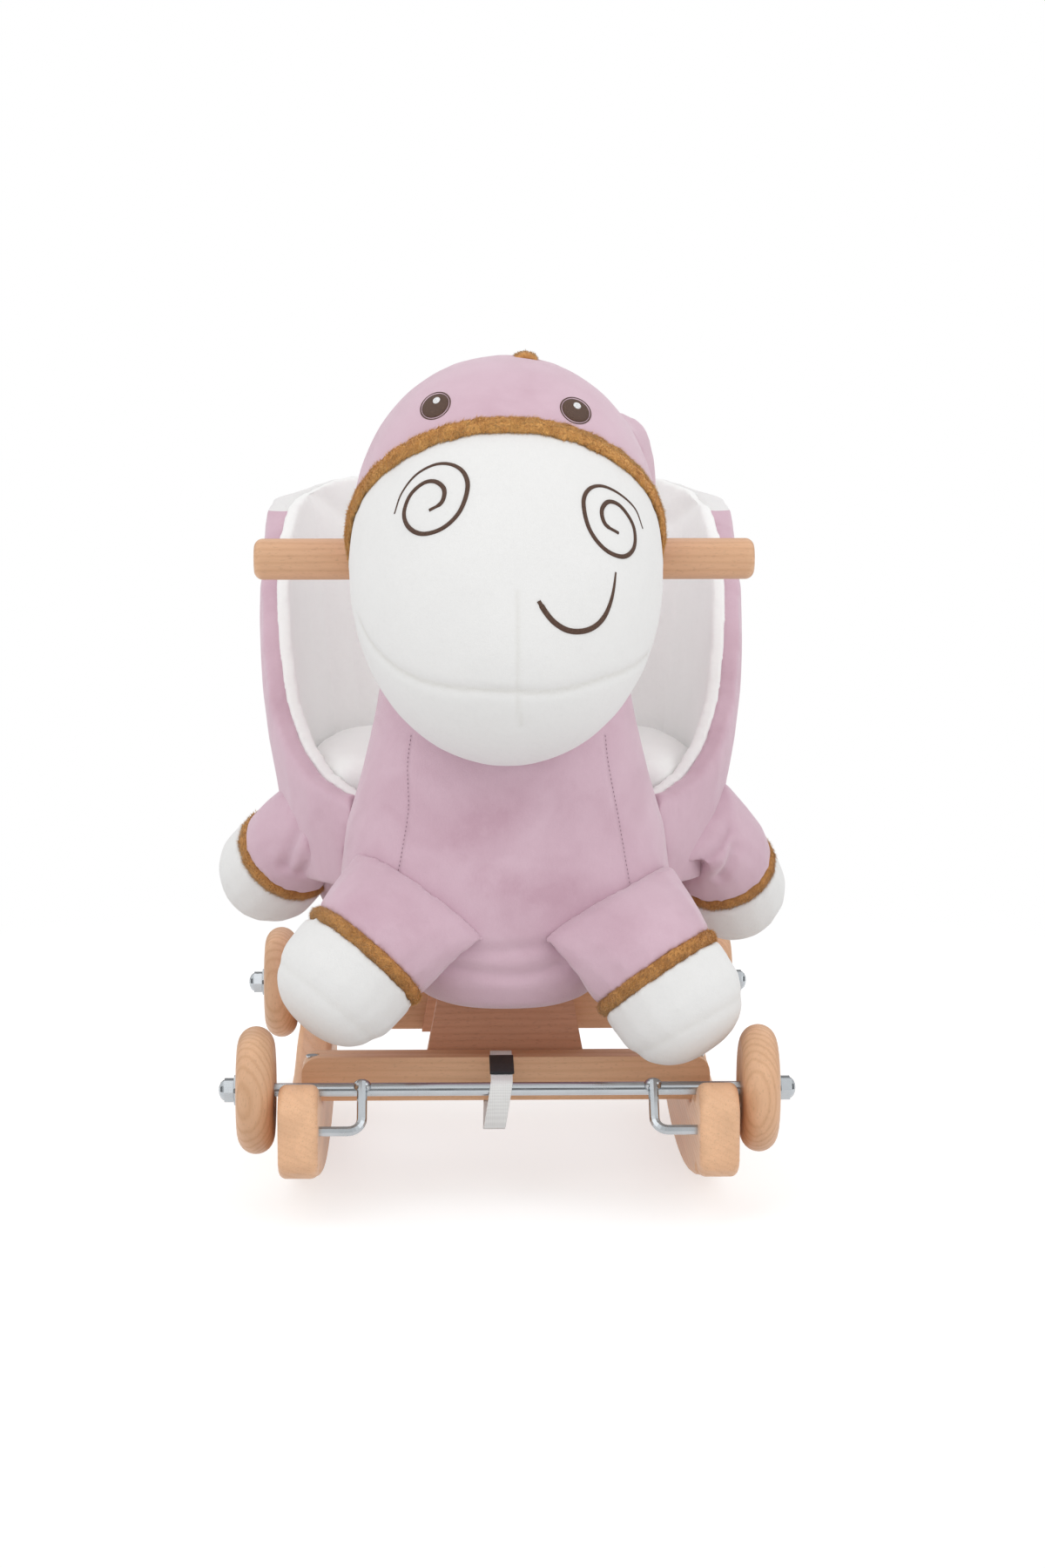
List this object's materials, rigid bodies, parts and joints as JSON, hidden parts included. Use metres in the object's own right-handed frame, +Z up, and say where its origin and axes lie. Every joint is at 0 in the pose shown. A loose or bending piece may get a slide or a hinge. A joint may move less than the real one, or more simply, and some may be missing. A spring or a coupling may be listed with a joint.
{
  "type": "rocking horse",
  "caption": "Plush rocking horse with a padded tub seat and dowel handle on beech rockers, with fold-over axles whose wooden wheels let it roll instead of rock.",
  "frame": {"origin": "on the floor, under the middle of the whole horse's box", "axes": "+Z up; the horse faces -Y; +X towards the right of someone who looks at its face"},
  "size_m": [0.3602, 0.4995, 0.5091],
  "materials": {
    "beech": "smooth, clear-lacquered beech",
    "plywood": "sanded board",
    "zinc_steel": "bright zinc plating",
    "pink_velour": "short-pile velour over stuffing",
    "white_plush": "soft short plush over stuffing",
    "brown_fur": "short brown fur",
    "white_webbing": "woven webbing",
    "black_hook_tape": "matt hook tape"
  },
  "bodies": {
    "horse": {"back_board": "plywood", "chest_plush": "pink_velour", "crossbar_front": "beech", "crossbar_rear": "beech", "crossbar_screw_front_left": "zinc_steel", "crossbar_screw_front_right": "zinc_steel", "crossbar_screw_rear_left": "zinc_steel", "crossbar_screw_rear_right": "zinc_steel", "ear_left": "pink_velour", "ear_right": "pink_velour", "front_leg_left_band": "brown_fur", "front_leg_left_cuff": "pink_velour", "front_leg_left_paw": "white_plush", "front_leg_right_band": "brown_fur", "front_leg_right_cuff": "pink_velour", "front_leg_right_paw": "white_plush", "handle": "beech", "handle_screw": "zinc_steel", "head_hood": "pink_velour", "mane": "brown_fur", "muzzle": "white_plush", "muzzle_trim": "brown_fur", "neck_board": "plywood", "rear_body_plush": "pink_velour", "rear_leg_left_band": "brown_fur", "rear_leg_left_cuff": "pink_velour", "rear_leg_left_paw": "white_plush", "rear_leg_right_band": "brown_fur", "rear_leg_right_cuff": "pink_velour", "rear_leg_right_paw": "white_plush", "rocker_left": "beech", "rocker_right": "beech", "seat_board": "plywood", "seat_cushion": "white_plush", "seat_lining": "white_plush", "seat_outer": "pink_velour", "strap_front": "white_webbing", "strap_hook_pad_front": "black_hook_tape", "strap_hook_pad_rear": "black_hook_tape", "strap_rear": "white_webbing", "support_board_front": "plywood", "support_board_rear": "plywood", "support_screw_front": "zinc_steel", "support_screw_rear": "zinc_steel", "tail": "pink_velour", "tail_tuft": "brown_fur"},
    "front_axle": {"axle_front": "zinc_steel", "washer_front_left": "zinc_steel", "washer_front_right": "zinc_steel", "cap_nut_front_left": "zinc_steel", "cap_nut_front_right": "zinc_steel"},
    "wheel_body_front_left": {"wheel_front_left": "beech"},
    "wheel_body_front_right": {"wheel_front_right": "beech"},
    "rear_axle": {"axle_rear": "zinc_steel", "washer_rear_left": "zinc_steel", "washer_rear_right": "zinc_steel", "cap_nut_rear_left": "zinc_steel", "cap_nut_rear_right": "zinc_steel"},
    "wheel_body_rear_left": {"wheel_rear_left": "beech"},
    "wheel_body_rear_right": {"wheel_rear_right": "beech"}
  },
  "joints": [
    {"name": "front_axle_flip", "type": "hinge", "parent": "horse", "child": "front_axle", "pos_m": [0, -0.2004, 0.055], "axis": [1, 0, 0], "range_deg": [0, 258.4], "deforming": ["strap_front", "strap_hook_pad_front"]},
    {"name": "wheel_front_left_spin", "type": "hinge", "parent": "front_axle", "child": "wheel_body_front_left", "pos_m": [-0.14875, -0.175, 0.0745], "axis": [1, 0, 0], "continuous": true},
    {"name": "wheel_front_right_spin", "type": "hinge", "parent": "front_axle", "child": "wheel_body_front_right", "pos_m": [0.14875, -0.175, 0.0745], "axis": [1, 0, 0], "continuous": true},
    {"name": "rear_axle_flip", "type": "hinge", "parent": "horse", "child": "rear_axle", "pos_m": [0, 0.2004, 0.055], "axis": [-1, 0, 0], "range_deg": [0, 258.4], "deforming": ["strap_rear", "strap_hook_pad_rear"]},
    {"name": "wheel_rear_left_spin", "type": "hinge", "parent": "rear_axle", "child": "wheel_body_rear_left", "pos_m": [-0.14875, 0.175, 0.0745], "axis": [1, 0, 0], "continuous": true},
    {"name": "wheel_rear_right_spin", "type": "hinge", "parent": "rear_axle", "child": "wheel_body_rear_right", "pos_m": [0.14875, 0.175, 0.0745], "axis": [1, 0, 0], "continuous": true}
  ]
}
